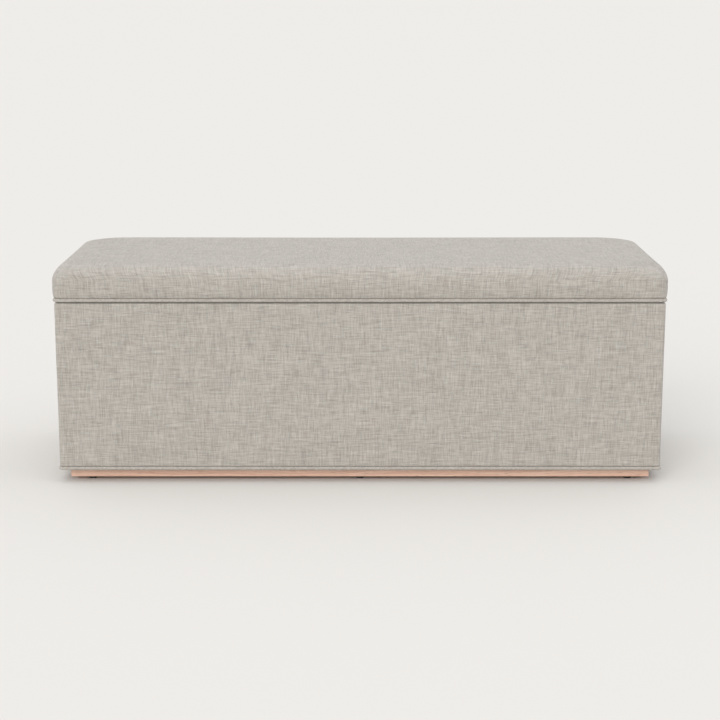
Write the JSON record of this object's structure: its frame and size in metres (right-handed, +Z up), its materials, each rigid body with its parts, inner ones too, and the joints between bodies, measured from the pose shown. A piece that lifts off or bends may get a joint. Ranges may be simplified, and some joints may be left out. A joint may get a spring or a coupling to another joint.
{
  "type": "storage ottoman",
  "caption": "Long fabric-covered storage ottoman with a padded, hinged lid, piped edges and a recessed oak plinth.",
  "frame": {"origin": "on the floor, under the middle of the object", "axes": "+Z up, +X along the length, the front faces -Y"},
  "size_m": [1.311, 0.487, 0.4742],
  "materials": {
    "linen": "matte",
    "lining_cloth": "matte",
    "dust_cloth": "matte",
    "foam": "matte",
    "plywood": "matte",
    "oak": "satin",
    "black_plastic": "matte",
    "steel": "satin",
    "black_paint": "satin"
  },
  "bodies": {
    "base": {"front_board": "plywood", "back_board": "plywood", "left_board": "plywood", "right_board": "plywood", "floor_board": "plywood", "front_cleat": "plywood", "back_cleat": "plywood", "left_cleat": "plywood", "right_cleat": "plywood", "front_padding": "foam", "back_padding": "foam", "left_padding": "foam", "right_padding": "foam", "front_cover": "linen", "back_cover": "linen", "left_cover": "linen", "right_cover": "linen", "base_piping": "linen", "lining": "lining_cloth", "dust_cover": "dust_cloth", "front_plinth_rail": "oak", "back_plinth_rail": "oak", "left_plinth_rail": "oak", "right_plinth_rail": "oak", "front_left_glide": "black_plastic", "front_middle_glide": "black_plastic", "front_right_glide": "black_plastic", "back_left_glide": "black_plastic", "back_middle_glide": "black_plastic", "back_right_glide": "black_plastic", "left_hinge_base_leaf": "steel", "left_hinge_pin": "steel", "middle_hinge_base_leaf": "steel", "middle_hinge_pin": "steel", "right_hinge_base_leaf": "steel", "right_hinge_pin": "steel", "left_strut_base_bracket": "steel", "right_strut_base_bracket": "steel"},
    "lid": {"lid_board": "plywood", "seat_foam": "foam", "seat_cover": "linen", "lid_piping": "linen", "lid_lining": "lining_cloth", "left_bumper": "black_plastic", "right_bumper": "black_plastic", "left_hinge_lid_leaf": "steel", "middle_hinge_lid_leaf": "steel", "right_hinge_lid_leaf": "steel", "left_strut_lid_bracket": "steel", "right_strut_lid_bracket": "steel"},
    "left_strut_tube": {"left_strut_tube_socket": "black_plastic", "left_strut_tube": "black_paint"},
    "left_strut_rod": {"left_strut_rod": "steel", "left_strut_rod_end": "black_plastic"},
    "right_strut_tube": {"right_strut_tube_socket": "black_plastic", "right_strut_tube": "black_paint"},
    "right_strut_rod": {"right_strut_rod": "steel", "right_strut_rod_end": "black_plastic"}
  },
  "joints": [
    {"name": "lid_hinge", "type": "hinge", "parent": "base", "child": "lid", "pos_m": [0, 0.24113, 0.39525], "axis": [-1, 0, 0], "range_deg": [0, 75]},
    {"name": "left_strut_swing", "type": "hinge", "parent": "base", "child": "left_strut_tube", "pos_m": [-0.612, 0.19112, 0.19525], "axis": [-1, 0, 0], "range_deg": [0, 15]},
    {"name": "left_strut_stroke", "type": "slide", "parent": "left_strut_tube", "child": "left_strut_rod", "axis": [0, -0.2102, 0.9776], "range_m": [0, 0.0935]},
    {"name": "right_strut_swing", "type": "hinge", "parent": "base", "child": "right_strut_tube", "pos_m": [0.612, 0.19112, 0.19525], "axis": [-1, 0, 0], "range_deg": [0, 15]},
    {"name": "right_strut_stroke", "type": "slide", "parent": "right_strut_tube", "child": "right_strut_rod", "axis": [0, -0.2102, 0.9776], "range_m": [0, 0.0935]}
  ],
  "couplings": [
    {"joint": "left_strut_swing", "follows": "lid_hinge", "ratio": 0.19735},
    {"joint": "left_strut_stroke", "follows": "lid_hinge", "m_per_rad": 0.071325},
    {"joint": "right_strut_swing", "follows": "lid_hinge", "ratio": 0.19735},
    {"joint": "right_strut_stroke", "follows": "lid_hinge", "m_per_rad": 0.071325}
  ]
}
